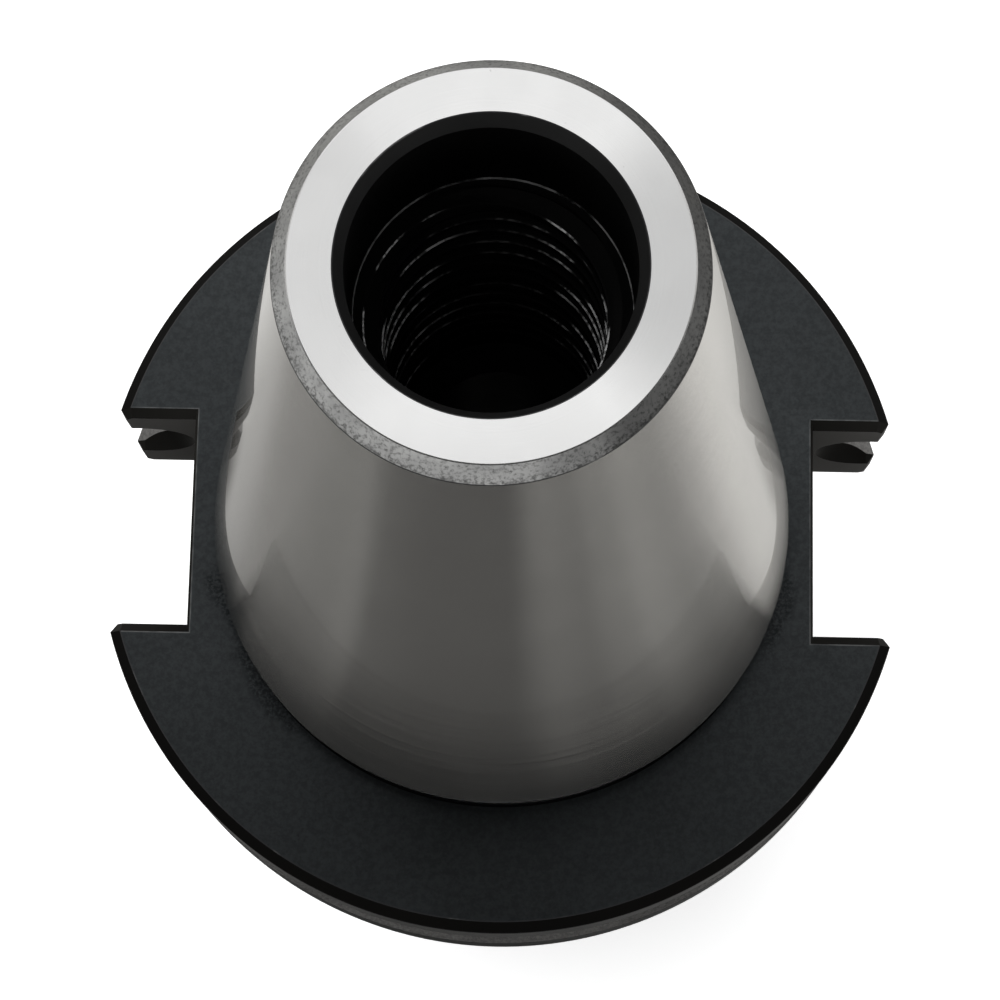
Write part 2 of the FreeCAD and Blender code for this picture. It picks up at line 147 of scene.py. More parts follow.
# painted shade: the end chamfer's colour darkens towards its right side
CHAMFER_RIGHT_PAINTED_SHADE_FADE = (0.0, 0.0095, 1.0, 0.22)
CHAMFER_STAIN_FADE = (CONE_TOP_Z * MM, (CONE_TOP_Z + 0.6) * MM, 0.13, 0.0)
ALONG_AXIS = 0.25                    # the turn that lays a gloss's blur along the holder's axis
GRAIN_DEPTH, LINE_DEPTH, STAIN_DEPTH = 0.00001, 0.000001, 0.00002
OXIDE, RUBBED_OXIDE, OXIDE_IOR = (0.0019, 0.0021, 0.0023), (0.055, 0.055, 0.054), 1.58
BLUISH, NEUTRAL, WARM = (0.88, 0.96, 1.0), (1.0, 1.0, 1.0), (1.0, 0.95, 0.9)     # tints of a gloss
RING_TONES = (0.94, 0.94, 0.935), (0.91, 0.91, 0.905)
CHAMFER_TONES = (0.46, 0.46, 0.45), (0.335, 0.335, 0.33)
CHAMFER_STAIN = (0.13, 0.13, 0.127)

# Camera, fitted to the photograph: place, turn in degrees, and lens and sensor in millimetres
CAMERA_AT = (0.0030087, -0.0493656, 0.3095534)
CAMERA_TURN = (12.27254, 0.50915, 1.20825)
LENS, SENSOR = 110.889, 36.0

# Light
FLOOR_Z, FLOOR_REACH = -0.00002, 3.0
FLOOR_PAINT = (0.8, 0.8, 0.8)
FLOOR_GLOW = 0.48                    # what makes the floor white to the camera
WORLD_LIGHT = 0.65                   # the world's strength as a light
LAMP_AT, LAMP_AIM, LAMP_SIZE, LAMP_WATTS = (-0.12, 0.08, 0.8), (0, 0, 0.06), 0.5, 5.0
CARD_TONE = (1.0, 0.985, 0.95)
CARDS = {                            # extent in x, extent in y, height and brightness
    "card_above": (-0.6, 0.6, -0.8, 0.05, 0.5, 0.06),
    "card_left": (-0.7, -0.16, 0.05, 0.5, 0.5, 0.45),
    "card_right": (0.13, 0.7, 0.05, 0.5, 0.5, 0.42),
}

# The card that gives the floor's mirror image in the holder: its brightness by the angle, and what
# that is multiplied by, as fades by the distance from the axis
FLOOR_CARD_REACH, FLOOR_CARD_Z = 0.5, 0.0005
FLOOR_CARD = [
    (-180, 0.4), (-130, 0.73), (-110, 0.48), (-90, 0.34), (-70, 0.285), (-60, 0.245), (-46, 0.33),
    (-42, 0.185), (-30, 0.145), (-20, 0.124), (5, 0.122), (9, 0.152), (20, 0.165), (30, 0.155),
    (40, 0.24), (50, 0.355), (65, 0.31), (80, 0.51), (90, 0.83), (100, 0.8), (110, 0.82),
    (130, 0.68), (180, 0.38),
]
SHADE_NEAR = (0.036, 0.048, 0.1, 1.0)        # the flange's shadow
SHADE_BACK = (0.012, 0.021, 0.0, 0.007)      # the shadow grows by this much behind, by y
SHADE_EDGE = (0.05, 0.072, 0.84, 1.0)        # the shadow's soft edge
SHADE_FAR = (0.12, 0.3, 1.0, 0.45)           # the darker room
FRONT = (-60, -48, 6, 16)                    # outside this sector the card rises with the distance
SIDE_RISE = (0.07, 0.1, 0.0, 0.33)
BAND = (7, 17, 32, 44)                       # and in this one it rises by this much more
BAND_RISE = (0.073, 0.09, 0.0, 0.5)


# Skins

def upright(point):
    """Leaves a point as it is drawn."""
    return point


class Skin:
    """Points in millimetres and the faces between them, each face with its finish."""

    def __init__(self):
        self.points, self.faces, self.finishes = [], [], []

    def add(self, points):
        """Adds points and gives back their numbers."""
        first = len(self.points)
        self.points.extend(tuple(p) for p in points)
        return list(range(first, len(self.points)))

    def face(self, corners, finish):
        self.faces.append(corners)
        self.finishes.append(finish)

    def strip(self, low, high, finish):
        """Faces between two open rows of the same length."""
        for a, b, c, d in zip(low, low[1:], high[1:], high):
            self.face([a, b, c, d], finish)

    def band(self, low, high, finish):
        """Faces between two closed rows."""
        self.strip(low + low[:1], high + high[:1], finish)

    def mesh(self, name, slot_order, place):
        """A welded mesh in metres. slot_order has the finishes in the order of its material slots."""
        mesh = bpy.data.meshes.new(name)
        mesh.from_pydata([place(p) for p in self.points], [], self.faces)
        mesh.polygons.foreach_set("material_index", [slot_order.index(f) for f in self.finishes])
        work = bmesh.new()
        work.from_mesh(mesh)
        bmesh.ops.remove_doubles(work, verts=work.verts, dist=WELD)
        bmesh.ops.recalc_face_normals(work, faces=work.faces)
        bmesh.ops.scale(work, vec=(MM, MM, MM), verts=work.verts)
        work.to_mesh(mesh)
        work.free()
        return mesh


def ring(radius, height, angles):
    """Points round the axis. The radius and the height may change from point to point."""
    radius = np.broadcast_to(radius, angles.shape)
    height = np.broadcast_to(height, angles.shape)
    return np.stack([radius * np.cos(angles), radius * np.sin(angles), height], axis=1)


def even_angles(count):
    return np.linspace(0, 2 * math.pi, count + 1)[:-1]


def worn(corners):
    """Rows (radius, height, finish of the next band, number of the corner) of a section.

    A corner with a finish of its own is cut back to a narrow band of that finish.
    """
    rows = []
    for number, (radius, height, finish, edge) in enumerate(corners):
        here = np.array([radius, height])
        if edge is None:
            rows.append((radius, height, finish, number))
            continue
        for other, band in ((corners[number - 1], edge), (corners[number + 1], finish)):
            away = np.array(other[:2]) - here
            radius, height = here + away * EDGE / np.linalg.norm(away)
            rows.append((radius, height, band, number))
    return rows


def add_turned(skin, corners, angles):
    """A section turned round the axis, as closed rows with bands between them. Returns the rows."""
    section = worn(corners)
    rows = [skin.add(ring(radius, height, angles)) for radius, height, _, _ in section]
    for low, high, (_, _, finish, _) in zip(rows, rows[1:], section):
        skin.band(low, high, finish)
    return rows


# Threads

def crest_and_flank(form):
    """Widths of a thread's crest and of one of its flanks."""
    pitch, depth, root = form
    flank = depth * FLANK_SLOPE
    return pitch - root - 2 * flank, flank


def thread_depth(form, height, turn):
    """Depth of a right-hand internal thread below its crest, at a height and an angle."""
    pitch, depth, root = form
    crest, flank = crest_and_flank(form)
    along = np.mod(height - pitch * turn / (2 * math.pi), pitch)
    return np.interp(along, [0, crest, crest + flank, crest + flank + root, pitch], [0, 0, depth, depth, 0])


def thread_marks(form, steps, rub):
    """Heights of the rows in one turn of a thread, and the number of the crest's upper corner."""
    pitch, _, root = form
    crest, flank = crest_and_flank(form)
    on_crest, on_flank, on_root = steps
    corners = [0, crest - rub / 2, crest + rub, crest + flank, crest + flank + root, pitch]
    counts = [on_crest, 1, on_flank, on_root, on_flank]
    marks = [np.linspace(a, b, count + 1)[:-1] for a, b, count in zip(corners, corners[1:], counts)]
    return np.concatenate(marks), on_crest


def helix(skin, angles, low, high, form, radius, finishes, steps, rub):
    """Rows that follow a thread's helix between two heights, joined to one surface.

    radius(height, turn) gives the surface at a height and an angle from the first column.
    finishes are the thread's own and that of its crest's upper corner. Returns the end rows.
    """
    pitch = form[0]
    marks, corner = thread_marks(form, steps, rub)
    turn = angles - angles[0]
    first = math.floor(low / pitch) - 2
    last = math.ceil(high / pitch) + 1
    rows = []
    for start in [pitch * number + mark for number in range(first, last) for mark in marks]:
        height = np.clip(start + pitch * turn / (2 * math.pi), low, high)
        rows.append(skin.add(ring(radius(height, turn), height, angles)))
    for number, (row, above) in enumerate(zip(rows, rows[1:])):
        finish = finishes[number % len(marks) == corner]
        skin.strip(row, above, finish)
        joined = min(number + len(marks), len(rows) - 1)
        joined_above = min(joined + 1, len(rows) - 1)
        skin.face([row[-1], rows[joined][0], rows[joined_above][0], above[-1]], finish)
    return rows[0], rows[-1]


# Flange and drive slots

def opening_at(radius):
    """Half the angle that a slot takes, with its chamfers, on a circle."""
    return math.asin(TRIM / radius)


def columns(opening):
    """Angles of the holder's columns, where the edges of the slots are at plus and minus opening."""
    slot = np.linspace(-opening, opening, SLOT_STEPS + 1)[:-1]
    arc = np.linspace(opening, math.pi - opening, ARC_STEPS + 1)[:-1]
    return np.concatenate([slot, arc, slot + math.pi, arc + math.pi])


def arcs(row):
    """The two parts of a full row that lie between the slots, ends included."""
    return row[SLOT_STEPS:HALF_TURN + 1], row[HALF_TURN + SLOT_STEPS:] + row[:1]


def slots(row):
    """The two parts of a full row that lie across the slots, ends included."""
    return row[:SLOT_STEPS + 1], row[HALF_TURN:HALF_TURN + SLOT_STEPS + 1]


def slot_y(opening, edge):
    """The places y of the columns across a slot, scaled so that the outer ones are at edge."""
    y = np.sin(np.linspace(-opening, opening, SLOT_STEPS + 1))
    return y * edge / y[-1]


def bridge_ring(height, opening):
    """A full row that runs along the root chamfers' edges in the slots, and on a circle between them."""
    x = ROOT_X - ROOT_CHAMFER
    reach = math.hypot(x, TRIM)
    points = ring(reach, height, columns(opening_at(reach)))
    y = slot_y(opening, TRIM)[:-1]
    for start, side in ((0, 1), (HALF_TURN, -1)):
        points[start:start + SLOT_STEPS, 0] = side * x
        points[start:start + SLOT_STEPS, 1] = side * y
    return points


def arc_rows(skin, radius, height):
    """Two open rows on the flange, one at each side of the slots."""
    opening = opening_at(radius)
    arc = np.linspace(opening, math.pi - opening, ARC_STEPS + 1)
    return [skin.add(ring(radius, height, arc)), skin.add(ring(radius, height, arc + math.pi))]


def flange_section():
    """The flange's section from one face to the other, outside the slots' roots."""
    inner = math.hypot(ROOT_X, TRIM)
    run = GROOVE_HALF - GROOVE_FLAT
    down = np.linspace(0, 1, FLANK_STEPS + 1)[1:-1]
    low, bottom_low = GROOVE_Z - GROOVE_HALF, GROOVE_Z - GROOVE_FLAT
    high, bottom_high = GROOVE_Z + GROOVE_HALF, GROOVE_Z + GROOVE_FLAT
    return [
        (inner, FRONT_Z, "black", None),
        (FLANGE_R - RIM, FRONT_Z, "bevel", "edge"),
        (FLANGE_R, FRONT_Z + RIM, "black", "edge"),
        (FLANGE_R, low, "groove", "edge"),
        *[(FLANGE_R - GROOVE_DEPTH * t, low + run * t, "groove", None) for t in down],
        (GROOVE_R, bottom_low, "groove", None),
        (GROOVE_R, bottom_high, "groove", None),
        *[(GROOVE_R + GROOVE_DEPTH * t, bottom_high + run * t, "groove", None) for t in down],
        (FLANGE_R, high, "land", "edge"),
        (FLANGE_R, REAR_Z - RIM, "bevel", "edge"),
        (FLANGE_R - RIM, REAR_Z, "flange_top", "edge"),
        (inner, REAR_Z, "black", None),
    ]


def wall_outline(corners):
    """Outline (x, z) of a slot's wall: the flange's section at the wall, set in by the chamfer."""
    section = np.array([(math.sqrt(r * r - WALL_Y * WALL_Y), z) for r, z, _, _ in corners])
    step = np.diff(section, axis=0)
    step /= np.linalg.norm(step, axis=1)[:, None]
    inward = np.stack([-step[:, 1], step[:, 0]], axis=1)
    outline = [(ROOT_X, FRONT_Z + WALL_CHAMFER)]
    for corner, before, after in zip(section[1:-1], inward, inward[1:]):
        mitre = before + after
        outline.append(tuple(corner + mitre * WALL_CHAMFER * 2 / (mitre @ mitre)))
    outline.append((ROOT_X, REAR_Z - WALL_CHAMFER))
    return outline


def add_root(skin, side, start, end, openings):
    """A slot's root and its chamfers, between the slot's rows on the flange's two faces."""
    middle = TRIM - ROOT_CHAMFER
    levels = (
        (FRONT_Z + ROOT_CHAMFER, middle, openings[0]),
        (FRONT_Z + WALL_CHAMFER, WALL_Y, openings[0]),
        (REAR_Z - WALL_CHAMFER, WALL_Y, openings[1]),
        (REAR_Z - ROOT_CHAMFER, middle, openings[1]),
    )
    root = [skin.add([(side * ROOT_X, side * y, z) for y in slot_y(opening, edge)])
            for z, edge, opening in levels]
    finishes = ("slot_bevel", "slot", "slot", "slot", "slot_bevel")
    for below, above, finish in zip([start] + root, root + [end], finishes):
        skin.strip(below, above, finish)
    return root


def add_wall(skin, foot, points, outer, numbers):
    """A slot's wall inside its chamfer.

    foot has the four points along the slot's root, points the wall's other corners, and numbers
    gives the corner that each outer point faces.
    """
    skin.face([foot[1], *points, foot[2]], "slot")
    inner = [foot[0], *points, foot[3]]
    for a, b, m, n in zip(outer, outer[1:], numbers, numbers[1:]):
        skin.face([a, b, inner[n], inner[m]] if m != n else [a, b, inner[n]], "slot_bevel")
    skin.face([foot[0], points[0], foot[1]], "slot_bevel")
    skin.face([foot[3], points[-1], foot[2]], "slot_bevel")


def cut_slots(skin, corners, numbers, flange_rows, bottom, top, openings):
    """Walls, roots and chamfers of both drive slots, between the flange's rows."""
    outline = wall_outline(corners)[1:-1]
    for side, start, end in zip((1, -1), slots(bottom), slots(top)):
        root = add_root(skin, side, start, end, openings)
        # At a wall the slot's rows have one of their ends, and the flange's rows the other
        for wall, slot_end, flange_end in ((-1, 0, -1), (1, -1, 0)):
            y = side * wall * WALL_Y
            arc = 0 if y > 0 else 1
            points = skin.add([(side * x, y, z) for x, z in outline])
            foot = [row[slot_end] for row in root]
            outer = [pair[arc][flange_end] for pair in flange_rows]
            add_wall(skin, foot, points, outer, numbers)
            skin.face([start[slot_end], outer[0], foot[0]], "slot_bevel")
            skin.face([end[slot_end], outer[-1], foot[3]], "slot_bevel")


def add_flange(skin, bottom, openings):
    """The flange with its groove and slots, above its front face's row. Returns its rear face's row."""
    corners = flange_section()
    section = worn(corners)
    rows = [arc_rows(skin, radius, height) for radius, height, _, _ in section]
    top = skin.add(bridge_ring(REAR_Z, openings[1]))
    for full, pair, finish in ((bottom, rows[0], "black"), (top, rows[-1], "flange_top")):
        for arc, row in zip(arcs(full), pair):
            skin.strip(arc, row, finish)
    for low, high, (_, _, finish, _) in zip(rows, rows[1:], section):
        for row, above in zip(low, high):
            skin.strip(row, above, finish)
    numbers = [number for _, _, _, number in section]
    cut_slots(skin, corners, numbers, rows, bottom, top, openings)
    return top


# Holder

def nose_section():
    """The nose from its bore's mouth to the flange's front face."""
    fillet = [math.radians(angle) for angle in np.linspace(180, 90, FILLET_STEPS + 1)]
    middle = FRONT_Z - NOSE_FILLET
    return [
        (SHANK_R + MOUTH_CHAMFER, 0.0, "black", None),
        (NOSE_R - NOSE_CHAMFER, 0.0, "black", "edge"),
        (NOSE_R, NOSE_CHAMFER, "nose", "edge"),
        (NOSE_R, NOSE_CHAMFER + CHAMFER_HOLD, "nose", None),
        (NOSE_R, middle - FILLET_HOLD, "nose", None),
        *[(SHOULDER_R + NOSE_FILLET * math.cos(a), middle + NOSE_FILLET * math.sin(a), "nose", None)
          for a in fillet],
        (SHOULDER_R + FILLET_HOLD, FRONT_Z, "black", None),
    ]


def taper_section():
    """From the flange's rear face over the neck, the taper and its end down to the thread's lead."""
    return [
        # painted shadow: a near-black ring on the flange round the neck's foot
        (NECK_R + CREASE_SHADOW, REAR_Z, "crease", None),
        (NECK_R, REAR_Z, "black", None),
        (NECK_R, GAUGE_Z, "black", None),
        (GAUGE_R, GAUGE_Z, "taper", "dark_edge"),
        (CONE_TOP_R, CONE_TOP_Z, "end_chamfer", "dark_edge"),
        (END_R, END_Z, "end_face", "bright_edge"),
        (CENTRE_R, END_Z, "centre", "dark_edge"),
        (PILOT_R, PILOT_Z, "pilot", None),
        (PILOT_R, PILOT_END + LIP, "lip", None),
        (PILOT_R - EDGE, PILOT_END - EDGE, "thread", None),
    ]


def add_drawbar_thread(skin, above, angles):
    """The tapped hole under a row. Returns the row at its end."""
    def tapped(height, turn):
        fade = np.clip((height - TAP_END - RUN_OUT_AT) / RUN_OUT, 0, 1)
        crest = TAP_R + thread_depth(DRAWBAR_THREAD, height, turn) * fade
        return np.maximum(crest, PILOT_R - (PILOT_END - height))

    low, high = helix(skin, angles, TAP_END, PILOT_END - EDGE, DRAWBAR_THREAD, tapped,
                      ("thread", "glint"), DRAWBAR_STEPS, DRAWBAR_RUB)
    skin.band(above, high, "thread")
    return low


def add_bores(skin, drilled, mouth, angles):
    """From the end of the tapped hole down through the passage and the shank bore to its mouth."""
    lower = (
        # the drill point takes the pilot's darker finish: painted shade deep in the hole
        ("pilot", PASSAGE_R, TAP_END - (TAP_R - PASSAGE_R) / DRILL_SLOPE),
        ("bore", PASSAGE_R, SHANK_END + (SHANK_R - PASSAGE_R) / DRILL_SLOPE),
        ("bore", SHANK_R, SHANK_END),
        ("bore", SHANK_R, MOUTH_CHAMFER),
    )
    row = drilled
    for finish, radius, height in lower:
        below = skin.add(ring(radius, height, angles))
        skin.band(row, below, finish)
        row = below
    skin.band(row, mouth, "black")


def holder_skin():
    """The holder but for the side lock screw's hole and the groove's countersinks, one closed skin."""
    skin = Skin()
    openings = opening_at(SHOULDER_R), opening_at(NECK_R)
    nose_columns, neck_columns = columns(openings[0]), columns(openings[1])
    nose = add_turned(skin, nose_section(), nose_columns)
    bottom = skin.add(bridge_ring(FRONT_Z, openings[0]))
    skin.band(nose[-1], bottom, "black")
    top = add_flange(skin, bottom, openings)
    taper = add_turned(skin, taper_section(), neck_columns)
    skin.band(top, taper[0], "flange_top")
    drilled = add_drawbar_thread(skin, taper[-1], neck_columns)
    add_bores(skin, drilled, nose[0], neck_columns)
    return skin


# What is cut out of the holder

def hole_skin():
    """The side lock screw's hole: its thread, and its countersink out past the nose's surface."""
    skin = Skin()
    angles = even_angles(SCREW_COLUMNS)
    major = CREST_R + SCREW_THREAD[1]

    def hole(height, turn):
        thread = CREST_R + thread_depth(SCREW_THREAD, height, turn)
        return np.maximum(thread, major + height - HOLE_SINK_X)

    first, last = helix(skin, angles, CUTTER_START, CUTTER_TURNS_END, SCREW_THREAD, hole,
                        ("hole_thread", "hole_thread"), SCREW_STEPS, SCREW_RUB)
    wide = skin.add(ring(major + CUTTER_END - HOLE_SINK_X, CUTTER_END, angles))
    skin.band(last, wide, "black")
    skin.face(first, "bore")
    skin.face(wide, "black")
    return skin


def spool_skin():
    """The countersinks at the V groove's ends in one slot: two cones that run on past the walls."""
    skin = Skin()
    angles = even_angles(SCREW_COLUMNS)
    point, rim, rim_r = WALL_Y + SINK_R, WALL_Y - SINK_OVER, SINK_R + SINK_OVER
    section = ((0, -point), (rim_r, -rim), (rim_r, rim), (0, point))
    rows = [skin.add(ring(radius, height, angles)) for radius, height in section]
    for below, above in zip(rows, rows[1:]):
        skin.band(below, above, "slot_bevel")
    return skin


def along_screw(point):
    """Lays a point that is drawn upright along +X, on the side lock screw's axis."""
    x, y, z = point
    return (z, y, SCREW_Z - x)


def across_slot(side):
    """Lays a spool along Y across one slot, in the middle of the V groove."""
    def place(point):
        x, y, z = point
        return (side * SINK_X + x, z, GROOVE_Z + y)
    return place


# Side lock screw

def add_socket(skin, rim, angles):
    """The hexagon socket with its chamfered mouth, below the row round the screw's head."""
    sixth = math.radians(60)
    hexagon = SOCKET_FLAT / np.cos(np.mod(angles + sixth / 2, sixth) - sixth / 2)
    finish, row = "screw", rim
    for depth in np.linspace(0, SOCKET_CORNER - SOCKET_FLAT, SOCKET_STEPS + 1):
        below = skin.add(ring(np.maximum(hexagon, SOCKET_CORNER - depth), HEAD_X - depth, angles))
        skin.band(row, below, finish)
        finish, row = "socket", below
    floor = HEAD_X - SOCKET_DEPTH
    drill_point = floor - SOCKET_FLAT / DRILL_SLOPE
    for radius, height in ((hexagon, floor), (SOCKET_FLAT, floor), (DRILL_TIP, drill_point)):
        below = skin.add(ring(radius, height, angles))
        skin.band(row, below, finish)
        row = below
    skin.face(row, finish)


def screw_skin():
    """The side lock screw, upright, with its point down and its hexagon socket up."""
    skin = Skin()
    angles = even_angles(SCREW_COLUMNS)
    major = CREST_R + SCREW_THREAD[1] - THREAD_GAP

    def outside(height, turn):
        thread = CREST_R - THREAD_GAP + thread_depth(SCREW_THREAD, height, turn)
        point = POINT_R + (height - POINT_X) * (major - POINT_R) / POINT_CHAMFER
        head = HEAD_R + HEAD_X - height
        return np.minimum(thread, np.minimum(point, head))

    first, last = helix(skin, angles, POINT_X, HEAD_X, SCREW_THREAD, outside,
                        ("screw", "screw"), SCREW_STEPS, SCREW_RUB)
    skin.face(first, "point")
    add_socket(skin, last, angles)
    return skin


# Nodes

class Nodes:
    """Builds a material's or a world's nodes. Inputs take a socket to link, or a constant."""

    def __init__(self, owner):
        owner.use_nodes = True
        self.owner = owner
        self.tree = owner.node_tree

    @cached_property
    def shader(self):
        return self.tree.nodes["Principled BSDF"]

    @cached_property
    def object(self):
        """The place on the object, in metres."""
        return self.add("ShaderNodeTexCoord").outputs["Object"]

    @cached_property
    def place(self):
        """Its X, Y and Z."""
        return self.add("ShaderNodeSeparateXYZ", {"Vector": self.object}).outputs

    @cached_property
    def radius(self):
        """Its distance from the holder's axis."""
        x, y = self.math("POWER", self.place["X"], 2.0), self.math("POWER", self.place["Y"], 2.0)
        return self.math("SQRT", self.math("ADD", x, y))

    @cached_property
    def turn(self):
        """Its angle from the front in degrees, right of it positive."""
        forward = self.math("MULTIPLY", self.place["Y"], -1.0)
        return self.math("DEGREES", self.math("ARCTAN2", self.place["X"], forward))

    @cached_property
    def seen(self):
        """1 where something is seen directly or mirrored, 0 where it only lights other things."""
        rays = self.add("ShaderNodeLightPath").outputs
        mirrored = self.math("MAXIMUM", rays["Is Glossy Ray"], rays["Is Transmission Ray"])
        return self.math("MAXIMUM", rays["Is Camera Ray"], mirrored)

    def put(self, target, value):
        if isinstance(value, bpy.types.NodeSocket):
            self.tree.links.new(value, target)
        else:
            target.default_value = value

    def add(self, kind, inputs=None, **settings):
        node = self.tree.nodes.new(kind)
        for name, value in settings.items():
            setattr(node, name, value)
        for name, value in (inputs or {}).items():
            self.put(node.inputs[name], value)
        return node

    def shade(self, **inputs):
        for name, value in inputs.items():
            self.put(self.shader.inputs[name.replace("_", " ")], value)

    def math(self, operation, *values):
        return self.add("ShaderNodeMath", dict(enumerate(values)), operation=operation).outputs[0]

    def product(self, first, *others):
        for other in others:
            first = self.math("MULTIPLY", first, other)
        return first

    def spread(self, value, low, high, to_low, to_high, kind):
        inputs = {"Value": value, "From Min": low, "From Max": high, "To Min": to_low, "To Max": to_high}
        return self.add("ShaderNodeMapRange", inputs, interpolation_type=kind).outputs[0]

    def fit(self, value, low, high, to_low=0.0, to_high=1.0):
        """Takes low to to_low and high to to_high, with a smooth step between them."""
        return self.spread(value, low, high, to_low, to_high, "SMOOTHSTEP")

    def fit_line(self, value, low, high, to_low=0.0, to_high=1.0):
        """The same, but straight."""
        return self.spread(value, low, high, to_low, to_high, "LINEAR")

    def sector(self, start, full, full_end, end):
        """1 between the middle two of four angles, fading to 0 at the outer two."""
        return self.product(self.fit(self.turn, start, full), self.fit(self.turn, full_end, end, 1.0, 0.0))

    def mix(self, factor, *colours):
        """The first colour where the factor is 0, the second where it is 1."""
        first, second = [(*c, 1) if isinstance(c, tuple) else c for c in colours]
        return self.add("ShaderNodeMix", {0: factor, 6: first, 7: second}, data_type="RGBA").outputs[2]

    def scaled(self, colour, amount):
        return self.add("ShaderNodeVectorMath", {0: colour, "Scale": amount}, operation="SCALE").outputs[0]

    def noise(self, scale, detail=3.0, rough=0.5):
        """Noise with about this many blots to a metre, or this many along each axis."""
        scale = scale if isinstance(scale, tuple) else (scale,) * 3
        stretched = self.add("ShaderNodeMapping", {"Vector": self.object, "Scale": scale}).outputs[0]
        inputs = {"Vector": stretched, "Scale": 1.0, "Detail": detail, "Roughness": rough}
        return self.add("ShaderNodeTexNoise", inputs).outputs[0]

    def blots(self, scale, low, high, to_low=0.0, to_high=1.0, detail=3.0, rough=0.5):
        """Noise between two of its levels, fitted to two values."""
        return self.fit(self.noise(scale, detail, rough), low, high, to_low, to_high)

    def bump(self, height, depth, strength):
        inputs = {"Height": height, "Distance": depth, "Strength": strength}
        return self.add("ShaderNodeBump", inputs).outputs[0]

    def round_axis(self):
        """The direction round the holder's axis, which its ground and turned faces are cut along."""
        return self.add("ShaderNodeTangent", direction_type="RADIAL", axis="Z").outputs[0]


def new_material(name):
    return Nodes(bpy.data.materials.new(name))


def toned(colour, factor):
    return tuple(c * factor for c in colour)


# Finishes

def black_oxide(name, base=OXIDE, rough=0.33, tint=BLUISH, level=0.5, scuffs=None, edges=None):
    """Blued black steel with faint clouds and a fine grain.

    level is how much it mirrors, scuffs a function for where it is dull, and edges one for where
    it is rubbed through.
    """
    n = new_material(name)
    clouds = n.noise(90.0, 4.0)
    colour = n.mix(n.fit(clouds, 0.35, 0.7), base, toned(base, 1.8))
    if edges:
        colour = n.mix(edges(n), colour, RUBBED_OXIDE)
    gloss = scuffs(n, tint) if scuffs else (*tint, 1)
    roughness = n.fit(clouds, 0.3, 0.7, rough - 0.04, rough + 0.07)
    n.shade(Base_Color=colour, Metallic=0.0, Roughness=roughness, Specular_Tint=gloss, IOR=OXIDE_IOR,
            Specular_IOR_Level=level, Normal=n.bump(n.noise(1500.0), GRAIN_DEPTH, 0.35))
    return n.owner


def flange_scuffs(n, tint):
    """Dull specks in the flange's finish, most of them beside the taper at its front left and right."""
    ragged = n.math("ADD", n.radius, n.blots(260.0, 0.3, 0.7, -0.0006, 0.0006, detail=2.0))
    inner = n.fit(ragged, *SCUFFS_FADE)
    sides = n.math("MAXIMUM", n.sector(*SCUFFS_LEFT), n.product(n.sector(*SCUFFS_RIGHT), 0.85))
    near = n.product(inner, sides, n.blots(3600.0, 0.36, 0.6, rough=0.7))
    dull = n.math("MAXIMUM", near, n.blots(900.0, 0.66, 0.76, 0.0, 0.35, rough=0.7))
    scratched = n.blots((90.0, 1300.0, 90.0), 0.62, 0.75, 0.0, 0.25, rough=0.7)
    mottle = n.blots(2100.0, 0.3, 0.7, 0.8, 1.12, detail=2.0, rough=0.8)
    return n.scaled(n.mix(scratched, n.mix(dull, tint, toned(tint, 0.4)), NEUTRAL), mottle)


def slot_edges(n):
    """Thin rubbed lines on the flange's face along the edges of the slots."""
    beside = n.math("SUBTRACT", n.math("ABSOLUTE", n.place["Y"]), TRIM * MM)
    inside = n.math("SUBTRACT", (ROOT_X - ROOT_CHAMFER) * MM, n.math("ABSOLUTE", n.place["X"]))
    line = n.fit(n.math("MAXIMUM", beside, inside), *EDGE_LINE_FADE)
    return n.product(line, n.blots(700.0, 0.35, 0.62, 0.3, 1.0))


def rubbed_crests_and_painted_glints(name):
    """Corners of the drawbar thread, rubbed bright in short stretches, with painted glints: the bright
    metal is kept to the hole's two sides and fades deeper in the hole.
    """
    n = new_material(name)
    side = n.fit(n.math("ABSOLUTE", n.place["X"]), *CREST_SIDE_PAINTED_GLINT_FADE)
    high = n.fit(n.place["Z"], *CREST_DEEP_PAINTED_SHADE_FADE)
    stretch = n.blots((200.0, 200.0, 700.0), 0.48, 0.62, detail=2.0)
    dots = n.blots(2600.0, 0.42, 0.6, 0.1, 1.0, detail=2.0)
    # rubbed stretches, with painted glint and shade: only at the sides, and fainter deeper down
    rubbed = n.product(side, stretch, dots, high)
    n.shade(Base_Color=n.mix(rubbed, (0.002, 0.002, 0.002), (0.9, 0.9, 0.9)), Metallic=rubbed,
            Roughness=0.45, Specular_IOR_Level=0.05)
    return n.owner


def rubbed_edge(name, low, high, bright=(0.2, 0.2, 0.2), scale=260.0):
    """Corners where the black finish is partly rubbed off, between two levels of the noise."""
    n = new_material(name)
    rubbed = n.blots(scale, low, high, detail=5.0, rough=0.65)
    n.shade(Base_Color=n.mix(rubbed, (0.01, 0.01, 0.011), bright), Metallic=rubbed, Roughness=0.36)
    return n.owner


def side_gloss(n):
    """A gloss that is strong at the left side, weaker at the right, and faint in front and behind."""
    sides = n.math("MAXIMUM", n.fit(n.turn, *GLOSS_LEFT_FADE), n.fit(n.turn, *GLOSS_RIGHT_FADE))
    return n.product(sides, n.fit(n.math("ABSOLUTE", n.turn), *GLOSS_BEHIND_FADE))


